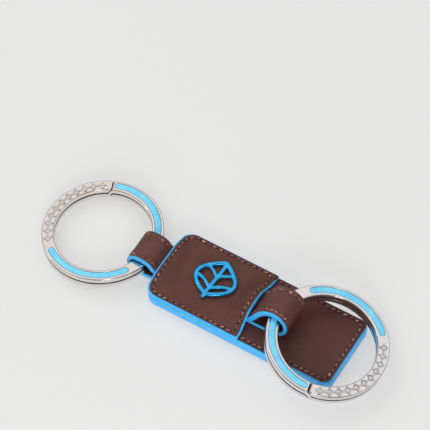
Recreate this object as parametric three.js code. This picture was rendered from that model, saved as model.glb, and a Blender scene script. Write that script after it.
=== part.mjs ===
// Leather key fob with two flat split rings, each held in a short leather loop.
// Units are millimetres, +Z is up. Origin: centre of the fob's flat underside.
// +X runs along the fob towards the ring that lies over the fob, +Y across it.
import * as THREE from 'three';
import { mergeVertices } from 'three/addons/utils/BufferGeometryUtils.js';

// ---------- driving dimensions ----------
const FOB_LENGTH = 59.5;          // over the painted edges
const FOB_WIDTH = 24.3;
const PAINT = 0.35;               // thickness of the edge paint
const LEFT_CORNER_R = 3.6;
const RIGHT_CORNER_R = 3.0;
const BACK_LEATHER = 1.0;
const CORE_BOARD = 1.6;
const FRONT_LEATHER = 1.1;
const TOP_LEATHER = 0.9;
const PANEL_LENGTH = 30.3;        // short top panel over the left half
const MOUTH_LIFT = 3.0;           // how far the top panel rises over the right strap
const MOUTH_RUN = 9.0;            // length over which that rise fades
const MOUTH_SETBACK = 0.5;        // the mouth edge curves back in its middle
const MOUTH_SKEW = 0.22;          // and is cut a little out of square
const LEFT_LIFT = 1.6;            // rise of the top panel over the left strap
const LEFT_RUN = 7.0;
const STRAP_WIDTH = 10.4;
const STRAP_CENTRE_Y = -0.44;
const SEAM_INSET = 1.9;
const THREAD_W = 0.45;
const THREAD_H = 0.16;
const RING_OD = 35;
const RING_ID = 28;
const RING_T = 3.7;               // two turns of flat wire
const TURN_GAP = 0.16;            // gap between the two turns
const ENAMEL_R = [14.86, 16.66];
const ENAMEL_DEPTH = 0.3;

const X0 = -FOB_LENGTH / 2;                         // left end of the fob
const HALF_W = FOB_WIDTH / 2;
const Z_BACK = BACK_LEATHER;
const Z_CORE = Z_BACK + CORE_BOARD;
const Z_BASE = Z_CORE + FRONT_LEATHER;              // top of the base
const STRAP_Y = [STRAP_CENTRE_Y - STRAP_WIDTH / 2, STRAP_CENTRE_Y + STRAP_WIDTH / 2];

// the left ring lies almost flat, the right ring leans on the fob's far corner
const LEFT_RING = { top: [X0 - 20.6, -0.6, 4.9], slopeX: 0.066, slopeY: 0, turn: 0 };
const RIGHT_RING = { top: [X0 + 53.5, -1.85, 8.8], slopeX: -0.191, slopeY: -0.03, turn: -190.7 };

// ---------- materials ----------
const std = (color, roughness, metalness) => new THREE.MeshStandardMaterial({ color, roughness, metalness });
const M = {
  leather: std(0x5f3f3a, 0.45, 0),
  board: std(0x8a7a68, 0.9, 0),
  paint: std(0x52b4f0, 0.4, 0),
  thread: std(0x7a5450, 0.8, 0),
  steel: std(0xd6d2cf, 0.22, 1),
  enamel: std(0x73d4fa, 0.3, 0),
  emblem: std(0x1a9be6, 0.25, 0.8),
};

// ---------- helpers ----------
const smooth = (t) => { t = Math.min(1, Math.max(0, t)); return t * t * (3 - 2 * t); };
const rad = (d) => (d * Math.PI) / 180;

// closed surface from positions and triangles, turned so that its faces point out
function solid(positions, index) {
  let v = 0;
  for (let i = 0; i < index.length; i += 3) {
    const [a, b, c] = [index[i], index[i + 1], index[i + 2]].map((k) => new THREE.Vector3(...positions[k]));
    v += a.dot(b.cross(c));
  }
  const idx = v < 0 ? index.map((_, i) => index[i - (i % 3) + (2 - (i % 3))]) : index;
  const g = new THREE.BufferGeometry();
  g.setAttribute('position', new THREE.Float32BufferAttribute(positions.flat(), 3));
  g.setIndex(idx);
  g.computeVertexNormals();
  return g;
}

// skin over a list of sections, each a closed outline with the same number of points
function loft(sections, { closed = false, cap = null } = {}) {
  const n = sections[0].length;
  const P = sections.flat();
  const I = [];
  const last = closed ? sections.length : sections.length - 1;
  for (let s = 0; s < last; s++) {
    const a = s * n, b = ((s + 1) % sections.length) * n;
    for (let k = 0; k < n; k++) {
      const k2 = (k + 1) % n;
      I.push(a + k, a + k2, b + k2, a + k, b + k2, b + k);
    }
  }
  if (!closed) {
    const tris = cap || THREE.ShapeUtils.triangulateShape(
      flatten(sections[0]), []);
    const e = (sections.length - 1) * n;
    const tris2 = cap || THREE.ShapeUtils.triangulateShape(flatten(sections[sections.length - 1]), []);
    for (const [p, q, r] of tris) I.push(p, r, q);
    for (const [p, q, r] of tris2) I.push(e + p, e + q, e + r);
  }
  return solid(P, I);
}

// outline of a flat section in two coordinates of its own plane, always counter-clockwise
function flatten(pts) {
  const o = new THREE.Vector3(...pts[0]);
  const n = new THREE.Vector3();
  for (let i = 0; i < pts.length; i++) {
    const p = new THREE.Vector3(...pts[i]).sub(o), q = new THREE.Vector3(...pts[(i + 1) % pts.length]).sub(o);
    n.add(p.cross(q));
  }
  n.normalize();
  const u = (Math.abs(n.x) < 0.9 ? new THREE.Vector3(1, 0, 0) : new THREE.Vector3(0, 1, 0));
  u.addScaledVector(n, -u.dot(n)).normalize();
  const v = new THREE.Vector3().crossVectors(n, u);
  return pts.map((p) => { const d = new THREE.Vector3(...p).sub(o); return new THREE.Vector2(d.dot(u), d.dot(v)); });
}

// a sheet between an upper and a lower surface; xs are its stations along X
function slab(xs, yRange, zTop, zBot, n = 16, warp = null) {
  const cap = [];
  const m = 2 * (n + 1);
  for (let j = 0; j < n; j++) {
    const t0 = j, t1 = j + 1, b0 = m - 1 - j, b1 = m - 2 - j;
    cap.push([t0, b0, b1], [t0, b1, t1]);
  }
  const sections = xs.map((x) => {
    const [lo, hi] = yRange(x);
    const up = [], down = [];
    for (let j = 0; j <= n; j++) {
      const y = lo + ((hi - lo) * j) / n;
      const xx = warp ? warp(x, y) : x;
      up.push([xx, y, zTop(xx, y)]);
      down.push([xx, y, zBot(xx, y)]);
    }
    return [...up, ...down.reverse()];
  });
  return loft(sections, { cap: cap.map(([p, q, r]) => [p, r, q]) });
}

// prism of a plan outline between two heights
function plate(points, z0, z1, holes = []) {
  const outline = points.map(([x, y]) => new THREE.Vector2(x, y));
  if (THREE.ShapeUtils.isClockWise(outline)) outline.reverse();
  const shape = new THREE.Shape(outline);
  for (const h of holes) shape.holes.push(new THREE.Path(h.map(([x, y]) => new THREE.Vector2(x, y))));
  const g = new THREE.ExtrudeGeometry(shape, { depth: z1 - z0, bevelEnabled: false });
  g.translate(0, 0, z0);
  return g;
}

// band of rectangular section along a plan path; inner and outer are matching outlines
function band(inner, outer, zBot, zTop, closed = true) {
  return loft(inner.map(([x, y], i) => {
    const [X, Y] = outer[i];
    return [[x, y, zBot(x, y)], [X, Y, zBot(x, y)], [X, Y, zTop(x, y)], [x, y, zTop(x, y)]];
  }), { closed });
}

const arc = (cx, cy, r, a0, a1, n) => Array.from({ length: n + 1 }, (_, i) => {
  const a = rad(a0 + ((a1 - a0) * i) / n);
  return [cx + r * Math.cos(a), cy + r * Math.sin(a)];
});

// fob outline inset by d, counter-clockwise, starting at the near-left corner
function fobOutline(d, n = 6) {
  const x0 = X0 + d, x1 = -X0 - d, h = HALF_W - d, rl = LEFT_CORNER_R - d, rr = RIGHT_CORNER_R - d;
  return [
    ...arc(x0 + rl, -h + rl, rl, 180, 270, n),
    ...arc(x1 - rr, -h + rr, rr, 270, 360, n),
    ...arc(x1 - rr, h - rr, rr, 0, 90, n),
    ...arc(x0 + rl, h - rl, rl, 90, 180, n),
  ];
}

// ---------- the top panel's form ----------
const mouthX = X0 + PANEL_LENGTH;
const across = (y, flat, fade, centre = STRAP_CENTRE_Y) => 1 - smooth((Math.abs(y - centre) - flat) / (fade - flat));
const along = (t) => (t >= 1 ? 0 : Math.cos((Math.PI / 2) * Math.max(0, t)) ** 2);
const lift = (x, y) =>
  MOUTH_LIFT * across(y, 2.3, 10.7, -0.9) * along((mouthX - MOUTH_SETBACK - x) / MOUTH_RUN) +
  LEFT_LIFT * across(y, 4.6, 10.4) * along((x - X0) / LEFT_RUN);
const setback = (y) => MOUTH_SETBACK * across(y, 1.0, 11.2, -0.9) + (MOUTH_SKEW * y) / HALF_W;
const panelTop = (x, y) => Z_BASE + TOP_LEATHER + lift(x, y);
const panelBottom = (x, y) => Z_BASE + lift(x, y);

const group = new THREE.Group();
function add(name, geometry, material) {
  let g = geometry.clone();
  g.deleteAttribute('uv');
  g.deleteAttribute('normal');
  g = mergeVertices(g, 1e-4);
  g.computeVertexNormals();
  const mesh = new THREE.Mesh(g, material);
  mesh.name = name;
  group.add(mesh);
  return mesh;
}

// ---------- fob: base ----------
const IN = PAINT;                                    // leather ends under the edge paint
const base = fobOutline(IN);
add('back_panel', plate(base, 0, Z_BACK), M.leather);

// the left strap's tail sits in a notch in the board and the filler
const notchX = X0 + 10.6, notchY = [STRAP_Y[0] - 0.15, STRAP_Y[1] + 0.15];
const notched = (outline) => [...outline, [X0 + IN, notchY[1]], [notchX, notchY[1]], [notchX, notchY[0]], [X0 + IN, notchY[0]]];
add('core_board', plate(notched(base), Z_BACK, Z_CORE), M.board);

const splitX = X0 + 19;                              // front leather starts under the top panel
const rightPart = [...fobOutline(IN).slice(7, 21), [splitX, HALF_W - IN], [splitX, -HALF_W + IN]];
add('front_panel', plate(rightPart, Z_CORE, Z_BASE), M.leather);
const lo = fobOutline(IN);
const leftPart = notched([...lo.slice(0, 7), [splitX - 0.3, -HALF_W + IN], [splitX - 0.3, HALF_W - IN], ...lo.slice(21)]);
add('filler_board', plate(leftPart, Z_CORE, Z_BASE), M.board);

// ---------- fob: top panel ----------
const pr = LEFT_CORNER_R - IN;
const panelXs = [];
for (let i = 0; i <= 6; i++) panelXs.push(X0 + IN + pr * (1 - Math.cos(rad(15 * i))));
for (let x = X0 + 5.2; x < mouthX - 1; x += 1.25) panelXs.push(x);
panelXs.push(mouthX - IN);
const halfAt = (x) => {
  const t = x - (X0 + IN);
  return t >= pr ? HALF_W - IN : HALF_W - IN - pr + Math.sqrt(Math.max(0, pr * pr - (pr - t) ** 2));
};
const pull = (x, y) => x - setback(y) * smooth((x - (mouthX - 6)) / (6 - IN));
add('top_panel', slab(panelXs, (x) => [-halfAt(x), halfAt(x)], panelTop, panelBottom, 20, pull), M.leather);

// ---------- fob: edge paint ----------
const perimeter = (d) => {
  const o = fobOutline(d);
  const left = [];
  for (const y of [notchY[1] + 0.06, notchY[1], notchY[0], notchY[0] - 0.06]) left.push([X0 + d, y]);
  return [...o, ...left];
};
const inStrap = (x, y) => x < X0 + 0.6 && y < notchY[1] + 0.03 && y > notchY[0] - 0.03;
add('base_edge_paint', band(perimeter(IN), perimeter(0), () => 0.05, (x, y) => (inStrap(x, y) ? Z_BACK : Z_BASE - 0.03)), M.paint);

const panelEdge = (d) => {
  const h = HALF_W - d, r = LEFT_CORNER_R - d, x0 = X0 + d;
  const pts = [...arc(x0 + r, -h + r, r, 180, 270, 6)];
  for (let x = X0 + 6; x < mouthX - 1; x += 2) pts.push([x, -h]);
  for (let j = 0; j <= 24; j++) {
    const y = -h + (2 * h * j) / 24;
    pts.push([mouthX - d - setback(y), y]);
  }
  const back = [];
  for (let x = X0 + 6; x < mouthX - 1; x += 2) back.push([x, h]);
  pts.push(...back.reverse(), ...arc(x0 + r, h - r, r, 90, 180, 6));
  for (let j = 1; j < 14; j++) pts.push([x0, h - r - (2 * (h - r) * j) / 14]);
  return pts;
};
const edgeIn = panelEdge(IN - 0.02), edgeOut = panelEdge(0);
add('top_panel_edge_paint', band(edgeIn, edgeOut, (x, y) => panelBottom(x, y) + 0.03, (x, y) => panelTop(x, y) - 0.03), M.paint);

// ---------- fob: stitching, laid on the leather ----------
function seam(path, closed, z) {
  const inner = [], outer = [];
  for (let i = 0; i < path.length; i++) {
    const p = path[closed ? (i - 1 + path.length) % path.length : Math.max(0, i - 1)];
    const q = path[closed ? (i + 1) % path.length : Math.min(path.length - 1, i + 1)];
    const dx = q[0] - p[0], dy = q[1] - p[1], l = Math.hypot(dx, dy);
    const nx = dy / l, ny = -dx / l;
    inner.push([path[i][0] - (nx * THREAD_W) / 2, path[i][1] - (ny * THREAD_W) / 2]);
    outer.push([path[i][0] + (nx * THREAD_W) / 2, path[i][1] + (ny * THREAD_W) / 2]);
  }
  return loft(inner.map(([x, y], i) => {
    const [X, Y] = outer[i];
    return [[x, y, z(x, y) + 0.04], [X, Y, z(X, Y) + 0.04], [X, Y, z(X, Y) + 0.04 + THREAD_H], [x, y, z(x, y) + 0.04 + THREAD_H]];
  }), { closed });
}
const basePath = [[mouthX + 0.5, -HALF_W + SEAM_INSET],
  ...arc(-X0 - RIGHT_CORNER_R, -HALF_W + RIGHT_CORNER_R, RIGHT_CORNER_R - SEAM_INSET, 270, 360, 5),
  ...arc(-X0 - RIGHT_CORNER_R, HALF_W - RIGHT_CORNER_R, RIGHT_CORNER_R - SEAM_INSET, 0, 90, 5),
  [mouthX + 0.5, HALF_W - SEAM_INSET]];
add('base_seam', seam(basePath, false, () => Z_BASE), M.thread);

const panelPath = [];
{
  const h = HALF_W - SEAM_INSET + 0.5, r = 2.2, x0 = X0 + SEAM_INSET - 0.4;
  panelPath.push(...arc(x0 + r, -h + r, r, 180, 270, 5));
  for (let x = X0 + 6; x < mouthX - 3; x += 1.25) panelPath.push([x, -h]);
  for (let j = 0; j <= 16; j++) { const y = -h + (2 * h * j) / 16; panelPath.push([mouthX - 1.9 - setback(y) * 0.9, y]); }
  const back = [];
  for (let x = X0 + 6; x < mouthX - 3; x += 1.25) back.push([x, h]);
  panelPath.push(...back.reverse(), ...arc(x0 + r, h - r, r, 90, 180, 5));
  for (let j = 1; j < 12; j++) panelPath.push([x0, h - r - (2 * (h - r) * j) / 12]);
}
add('panel_seam', seam(panelPath, true, (x, y) => panelTop(x, y) + 0.06), M.thread);

// ---------- fob: emblem, a leaf of round wire ----------
{
  const cx = X0 + 15.6, cy = 0.65, L = 11.4, W = 11.8, w = 1.3;
  const edge = (t, s, inset) => [cx + s * Math.max(0.02, (W / 2) * Math.sin(Math.PI * t) ** 0.8 * (1 - 0.25 * t) * 1.13 - inset), cy - L / 2 + 0.85 + L * t];
  const outer = [];
  for (let i = 0; i <= 18; i++) outer.push(edge(0.03 + (0.97 * i) / 18, 1, 0));
  for (let i = 17; i >= 0; i--) outer.push(edge(0.03 + (0.97 * i) / 18, -1, 0));
  outer.push([cx - w / 2, cy - L / 2 - 0.85], [cx + w / 2, cy - L / 2 - 0.85]);
  const cell = (s, t0, t1, tilt) => {
    const pts = [];
    for (let i = 0; i <= 6; i++) { const t = t0 + ((t1 - t0) * i) / 6; pts.push(edge(Math.min(0.93, t + tilt), s, w)); }
    pts.push([cx + (s * w) / 2, cy - L / 2 + 0.85 + L * t1], [cx + (s * w) / 2, cy - L / 2 + 0.85 + L * t0]);
    return s > 0 ? pts : pts.reverse();
  };
  const holes = [cell(1, 0.2, 0.34, 0.04), cell(-1, 0.2, 0.34, 0.04), cell(1, 0.47, 0.74, 0.08), cell(-1, 0.47, 0.74, 0.08)];
  add('emblem', plate(outer, panelTop(cx, cy) + 0.14, panelTop(cx, cy) + 1.3, holes), M.emblem);
}

// ---------- strap tails, inside the fob ----------
const range = (a, b, n) => Array.from({ length: n + 1 }, (_, i) => a + ((b - a) * i) / n);
add('left_strap_tail', slab(range(X0 + 1.3, X0 + 10.2, 8), () => STRAP_Y, (x, y) => panelBottom(x, y) - 0.05, () => Z_BACK + 0.03, 8), M.leather);
add('right_strap_tail', slab(range(X0 + 24.2, mouthX - MOUTH_SETBACK - 0.1, 6), () => STRAP_Y, (x, y) => panelBottom(x, y) - 0.05, () => Z_BASE + 0.03, 8), M.leather);

// ---------- strap roots and loops ----------
// profiles in (along the fob from its left end, height); the root is the short stretch that bends at the fob
const leftLoopOuter = [[-3.1, 7.98], [-3.5, 8.1], [-5.2, 8.2], [-6.6, 8.0], [-7.9, 7.5], [-8.9, 6.5], [-9.45, 5.0], [-9.5, 3.3], [-9.0, 1.7], [-7.8, 0.6], [-6.2, 0.15], [-4.3, 0.12], [-3.1, 0.35]];
const leftLoopInner = [[-3.1, 6.16], [-3.4, 6.32], [-5.0, 6.26], [-6.6, 6.12], [-7.6, 5.8], [-8.1, 4.9], [-8.1, 3.0], [-7.75, 2.0], [-7.0, 1.7], [-5.2, 1.7], [-3.6, 1.76], [-3.1, 1.95]];
const leftRoot = [[-3.05, 7.96], [-2.2, 7.7], [-1.35, 6.9], [-0.95, 5.8], [-0.85, 4.7], [-0.5, 4.1], [-0.22, 3.6], [-0.12, 3.0], [-0.3, 2.4], [-0.8, 1.85], [-1.45, 1.65], [-2.2, 1.0], [-3.05, 0.37], [-3.05, 1.97], [-2.85, 2.05], [-2.66, 3.1], [-2.7, 4.6], [-2.8, 6.0], [-3.05, 6.13]];
const rightLoopOuter = [[33.3, 11.86], [34.7, 13.1], [36.4, 14.1], [38.2, 14.3], [39.9, 13.9], [41.6, 12.8], [42.6, 11.1], [42.9, 9.1], [42.4, 7.0], [41.0, 5.2], [39.2, 4.3], [37.0, 3.85], [34.0, 3.82], [33.3, 3.86]];
const rightLoopInner = [[33.3, 8.77], [34.0, 10.1], [35.3, 11.75], [36.4, 12.35], [38.0, 12.4], [39.6, 12.1], [41.0, 11.4], [41.6, 10.3], [41.6, 8.6], [41.1, 7.1], [39.6, 5.9], [37.6, 5.35], [35.4, 5.1], [33.5, 5.2], [33.3, 5.29]];
const rightRoot = [[33.25, 11.81], [33.0, 11.6], [31.8, 9.8], [31.1, 8.1], [30.7, 6.75], [30.32, 6.15], [30.2, 5.5], [30.45, 4.75], [31.0, 4.15], [32.2, 3.92], [33.25, 3.87], [33.25, 5.32], [32.8, 5.5], [32.6, 6.3], [33.0, 8.2], [33.25, 8.68]];
// a profile pushed across the strap, from y0 to y1
function profileSolid(profile, y0, y1) {
  const g = plate(profile.map(([a, z]) => [X0 + a, z]), 0, y1 - y0);
  const p = g.attributes.position, pos = [], idx = [];
  for (let i = 0; i < p.count; i++) pos.push([p.getX(i), y0 + p.getZ(i), p.getY(i)]);
  for (let i = 0; i < p.count; i++) idx.push(i);
  return solid(pos, idx);
}
// stitching along a loop's outer surface
function loopSeam(pts, y, sign) {
  return loft(pts.map(([a, z], i) => {
    const p = pts[Math.max(0, i - 1)], q = pts[Math.min(pts.length - 1, i + 1)];
    const l = Math.hypot(q[0] - p[0], q[1] - p[1]);
    const na = (q[1] - p[1]) / l, nz = -(q[0] - p[0]) / l;
    const at = (yy, h) => [X0 + a + na * h * sign, yy, z + nz * h * sign];
    return [at(y - THREAD_W / 2, 0.04), at(y + THREAD_W / 2, 0.04), at(y + THREAD_W / 2, 0.04 + THREAD_H), at(y - THREAD_W / 2, 0.04 + THREAD_H)];
  }));
}
for (const [side, root, outer, inner, sign] of [['left', leftRoot, leftLoopOuter, leftLoopInner, 1], ['right', rightRoot, rightLoopOuter, rightLoopInner, -1]]) {
  const [y0, y1] = STRAP_Y;
  const loop = [...outer, ...[...inner].reverse()];
  const stitched = outer.slice(1, side === 'left' ? 6 : 7);
  add(`${side}_strap_root`, profileSolid(root, y0, y1), M.leather);
  add(`${side}_strap_loop`, profileSolid(loop, y0 + PAINT, y1 - PAINT), M.leather);
  add(`${side}_strap_near_paint`, profileSolid(loop, y0, y0 + PAINT - 0.02), M.paint);
  add(`${side}_strap_far_paint`, profileSolid(loop, y1 - PAINT + 0.02, y1), M.paint);
  add(`${side}_strap_near_seam`, loopSeam(stitched, y0 + 1.5, sign), M.thread);
  add(`${side}_strap_far_seam`, loopSeam(stitched, y1 - 1.5, sign), M.thread);
}

// ---------- split rings ----------
// flat wire wound twice; each end is tapered where the wire steps from one turn to the other
const WIRE = (RING_T - TURN_GAP) / 2, STEP = WIRE + TURN_GAP;
const STEP_AT = [470, 478];                        // where the wire steps down, in degrees along the coil
const TOP_END = 112.6, LOW_END = 475.4 + 360;
const GROOVES = [[232.5, 329.7], [372, 469.2]];
const jog = (t) => smooth((t - STEP_AT[0]) / (STEP_AT[1] - STEP_AT[0]));

function ringFrame({ top, slopeX, slopeY, turn }) {
  const n = new THREE.Vector3(-slopeX, -slopeY, 1).normalize();
  const e1 = new THREE.Vector3(1, 0, 0);
  e1.addScaledVector(n, -e1.dot(n)).normalize();
  const e2 = new THREE.Vector3().crossVectors(n, e1);
  const c = new THREE.Vector3(...top);
  return (r, deg, h) => {
    const a = rad(deg + turn);
    const p = c.clone().addScaledVector(e1, r * Math.cos(a)).addScaledVector(e2, r * Math.sin(a)).addScaledVector(n, h - RING_T);
    return [p.x, p.y, p.z];
  };
}

function coil(ring) {
  const at = ringFrame(ring);
  const stations = new Set([TOP_END, LOW_END]);
  for (let t = 120; t < STEP_AT[0]; t += 6) stations.add(t);
  for (let t = TOP_END; t < 119; t += 1.4) stations.add(t);
  for (let t = STEP_AT[0]; t <= STEP_AT[1] + 0.01; t += 1) stations.add(t);
  for (let t = 480; t < LOW_END - 8; t += 6) stations.add(t);
  for (let t = LOW_END - 7; t < LOW_END; t += 1) stations.add(t);
  for (const [a, b] of GROOVES) for (const t of [a, a + 0.25, b - 0.25, b]) stations.add(t);
  const ri = RING_ID / 2, ro = RING_OD / 2;
  const sections = [...stations].sort((a, b) => a - b).filter((t, i, s) => i === 0 || t - s[i - 1] > 0.05).map((t) => {
    let hb = STEP * (1 - jog(t)), ht = hb + WIRE;
    if (t < 119) hb = Math.max(hb, STEP * (1 - jog(t + 360)) + WIRE + TURN_GAP);
    if (t > LOW_END - 8) ht = Math.min(ht, STEP * (1 - jog(t - 360)) - TURN_GAP);
    const c = Math.min(0.35, (ht - hb) * 0.4);
    let d = 0;
    for (const [a, b] of GROOVES) if (t > a + 0.1 && t < b - 0.1) d = ENAMEL_DEPTH;
    const [g1, g2] = ENAMEL_R;
    return [
      [ri + c, hb], [ro - c, hb], [ro, hb + c], [ro, ht - c], [ro - c, ht],
      [g2, ht], [g2 - 0.01, ht - d], [g1 + 0.01, ht - d], [g1, ht], [ri + c, ht], [ri, ht - c], [ri, hb + c],
    ].map(([r, h]) => at(r, t, h));
  });
  return loft(sections);
}
function enamel(ring, [a, b]) {
  const at = ringFrame(ring);
  const n = Math.ceil((b - a) / 6), sections = [];
  const stops = new Set([a + 0.35, b - 0.35]);
  for (let t = 120; t < 470; t += 6) if (t > a + 0.4 && t < b - 0.4) stops.add(t);
  for (const t of [...stops].sort((p, q) => p - q)) {
    const [r0, r1] = [ENAMEL_R[0] + 0.04, ENAMEL_R[1] - 0.04];
    sections.push([[r0, RING_T - ENAMEL_DEPTH + 0.03], [r1, RING_T - ENAMEL_DEPTH + 0.03], [r1, RING_T - 0.01], [r0, RING_T - 0.01]].map(([r, h]) => at(r, t, h)));
  }
  return loft(sections);
}
for (const [side, ring] of [['left', LEFT_RING], ['right', RIGHT_RING]]) {
  add(`${side}_ring_coil`, coil(ring), M.steel);
  add(`${side}_ring_enamel_a`, enamel(ring, GROOVES[1]), M.enamel);
  add(`${side}_ring_enamel_b`, enamel(ring, GROOVES[0]), M.enamel);
}

export default group;
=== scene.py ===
import bpy
import math
import numpy as np
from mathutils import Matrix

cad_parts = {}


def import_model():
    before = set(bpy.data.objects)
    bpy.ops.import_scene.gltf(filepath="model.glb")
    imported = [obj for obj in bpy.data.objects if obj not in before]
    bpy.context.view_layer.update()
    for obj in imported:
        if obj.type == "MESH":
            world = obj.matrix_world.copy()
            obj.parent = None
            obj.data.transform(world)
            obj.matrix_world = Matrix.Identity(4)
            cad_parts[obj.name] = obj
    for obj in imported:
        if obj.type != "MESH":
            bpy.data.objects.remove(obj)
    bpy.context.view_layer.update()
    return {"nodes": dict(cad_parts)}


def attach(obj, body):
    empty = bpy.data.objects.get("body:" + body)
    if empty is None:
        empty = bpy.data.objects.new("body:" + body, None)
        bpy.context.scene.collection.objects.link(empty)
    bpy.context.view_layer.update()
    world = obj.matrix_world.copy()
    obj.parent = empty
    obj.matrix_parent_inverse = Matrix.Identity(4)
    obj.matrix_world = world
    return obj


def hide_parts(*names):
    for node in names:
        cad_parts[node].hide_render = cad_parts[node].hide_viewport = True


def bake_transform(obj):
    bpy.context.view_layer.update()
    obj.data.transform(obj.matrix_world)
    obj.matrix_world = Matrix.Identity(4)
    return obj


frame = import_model()
MM = 0.001
X0 = -29.75                       # left end of the fob, mm
HALF_W = 12.15
L_R, R_R = 3.6, 3.0               # corner radii, left and right
Z_BACK, Z_CORE, Z_BASE, Z_PANEL = 1.0, 2.6, 3.7, 4.6
MOUTH = X0 + 30.3
STRAP_Y = (-5.64, 4.76)
rng = np.random.default_rng(7)


# ------------------------------------------------------------------ materials
def srgb(r, g, b):
    f = lambda c: (c / 255 / 12.92) if c / 255 <= 0.04045 else ((c / 255 + 0.055) / 1.055) ** 2.4
    return (f(r), f(g), f(b), 1.0)


class Mat:
    def __init__(self, name):
        self.m = bpy.data.materials.new(name)
        self.m.use_nodes = True
        self.t = self.m.node_tree
        self.t.nodes.clear()
        self.out = self.t.nodes.new("ShaderNodeOutputMaterial")
        self.b = self.t.nodes.new("ShaderNodeBsdfPrincipled")
        self.t.links.new(self.b.outputs[0], self.out.inputs[0])
        self.co = self.t.nodes.new("ShaderNodeTexCoord").outputs["Object"]

    def n(self, kind, **kw):
        node = self.t.nodes.new(kind)
        for k, v in kw.items():
            setattr(node, k, v)
        return node

    def link(self, a, b):
        self.t.links.new(a, b)

    def mapped(self, scale=(1, 1, 1), rot=(0, 0, 0)):
        m = self.n("ShaderNodeMapping")
        m.inputs["Scale"].default_value = scale
        m.inputs["Rotation"].default_value = rot
        self.link(self.co, m.inputs["Vector"])
        return m.outputs[0]

    def noise(self, scale, detail=3, rough=0.5, vec=None, dist=0.0):
        n = self.n("ShaderNodeTexNoise")
        n.inputs["Scale"].default_value = scale
        n.inputs["Detail"].default_value = detail
        n.inputs["Roughness"].default_value = rough
        n.inputs["Distortion"].default_value = dist
        self.link(vec or self.co, n.inputs["Vector"])
        return n.outputs["Fac"]

    def voronoi(self, scale, feature="F1", vec=None, rand=1.0):
        n = self.n("ShaderNodeTexVoronoi", feature=feature)
        n.inputs["Scale"].default_value = scale
        n.inputs["Randomness"].default_value = rand
        self.link(vec or self.co, n.inputs["Vector"])
        return n.outputs["Distance"]

    def ramp(self, fac, stops, interp="LINEAR"):
        r = self.n("ShaderNodeValToRGB")
        cr = r.color_ramp
        cr.interpolation = interp
        while len(cr.elements) < len(stops):
            cr.elements.new(0.5)
        for e, (p, c) in zip(cr.elements, stops):
            e.position = p
            e.color = c if len(c) == 4 else (*c, 1)
        self.link(fac, r.inputs[0])
        return r.outputs[0]

    def map(self, v, lo, hi, to_lo, to_hi):
        m = self.n("ShaderNodeMapRange")
        for i, x in zip(range(1, 5), (lo, hi, to_lo, to_hi)):
            m.inputs[i].default_value = x
        self.link(v, m.inputs[0])
        return m.outputs[0]

    def math(self, op, a, b):
        m = self.n("ShaderNodeMath", operation=op)
        for i, x in enumerate((a, b)):
            if isinstance(x, (int, float)):
                m.inputs[i].default_value = x
            else:
                self.link(x, m.inputs[i])
        return m.outputs[0]

    def mix(self, fac, a, b, blend="MIX"):
        m = self.n("ShaderNodeMix", data_type="RGBA", blend_type=blend)
        for sock, x in ((0, fac), (6, a), (7, b)):
            if isinstance(x, (int, float)):
                m.inputs[sock].default_value = x
            elif isinstance(x, tuple):
                m.inputs[sock].default_value = x
            else:
                self.link(x, m.inputs[sock])
        return m.outputs[2]

    def attr(self, name):
        a = self.n("ShaderNodeAttribute")
        a.attribute_name = name
        return a.outputs["Fac"]

    def bump(self, height, strength, dist, normal=None):
        b = self.n("ShaderNodeBump")
        b.inputs["Strength"].default_value = strength
        b.inputs["Distance"].default_value = dist
        self.link(height, b.inputs["Height"])
        if normal is not None:
            self.link(normal, b.inputs["Normal"])
        return b.outputs[0]

    def set(self, **kw):
        for k, v in kw.items():
            s = self.b.inputs[k.replace("_", " ")]
            if isinstance(v, (int, float, tuple)):
                s.default_value = v
            else:
                self.link(v, s)
        return self


def leather(name, dark, mid, light, rough=0.42, grain=1.0):
    m = Mat(name)
    cloud = m.noise(160, 4, 0.6)
    fine = m.noise(2300, 3, 0.6)
    col = m.ramp(cloud, [(0.15, dark), (0.5, mid), (0.85, light)])
    col = m.mix(0.42, col, m.ramp(fine, [(0.28, dark), (0.72, light)]))
    pore = m.voronoi(3600, "DISTANCE_TO_EDGE")
    pore_c = m.ramp(pore, [(0.0, (0.62, 0.6, 0.6)), (0.12, (1, 1, 1))])
    col = m.mix(0.35, col, pore_c, "MULTIPLY")
    # painted shade: the shade attribute darkens the leather in stitch holes, seam grooves and edge creases
    shade = m.attr("shade")
    col = m.mix(shade, col, srgb(24, 12, 12))
    # lightens the leather: worn edge rub, and on the straps a painted sheen at the fold
    rub_and_sheen = m.attr("rub_and_sheen")
    col = m.mix(rub_and_sheen, col, light)
    r = m.map(cloud, 0.3, 0.7, rough - 0.05, rough + 0.07)
    r = m.math("ADD", r, m.map(fine, 0.3, 0.7, -0.03, 0.03))
    cells = m.ramp(pore, [(0.0, (0, 0, 0)), (0.22, (1, 1, 1))], "EASE")
    h = m.bump(cells, 0.22 * grain, 0.00006)
    h = m.bump(m.noise(900, 4, 0.6), 0.25 * grain, 0.00012, h)
    h = m.bump(m.noise(220, 2, 0.5), 0.25, 0.0003, h)
    m.set(Base_Color=col, Roughness=r, Normal=h, Specular_IOR_Level=0.36, Coat_Weight=0.04, Coat_Roughness=0.4)
    return m.m


def edge_paint(name, base, light, dark):
    m = Mat(name)
    c = m.noise(640, 3, 0.55)
    col = m.ramp(c, [(0.2, dark), (0.5, base), (0.8, light)])
    # painted shade: the shade attribute darkens the bead where it tucks against the leather and along the far side's
    # top
    col = m.mix(m.attr("shade"), col, srgb(16, 52, 90))
    r = m.map(c, 0.3, 0.7, 0.3, 0.42)
    h = m.bump(m.noise(520, 3, 0.5), 0.35, 0.0002)
    h = m.bump(m.noise(3200, 2, 0.5), 0.12, 0.00005, h)
    m.set(Base_Color=col, Roughness=r, Normal=h, Specular_IOR_Level=0.5)
    return m.m


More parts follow.
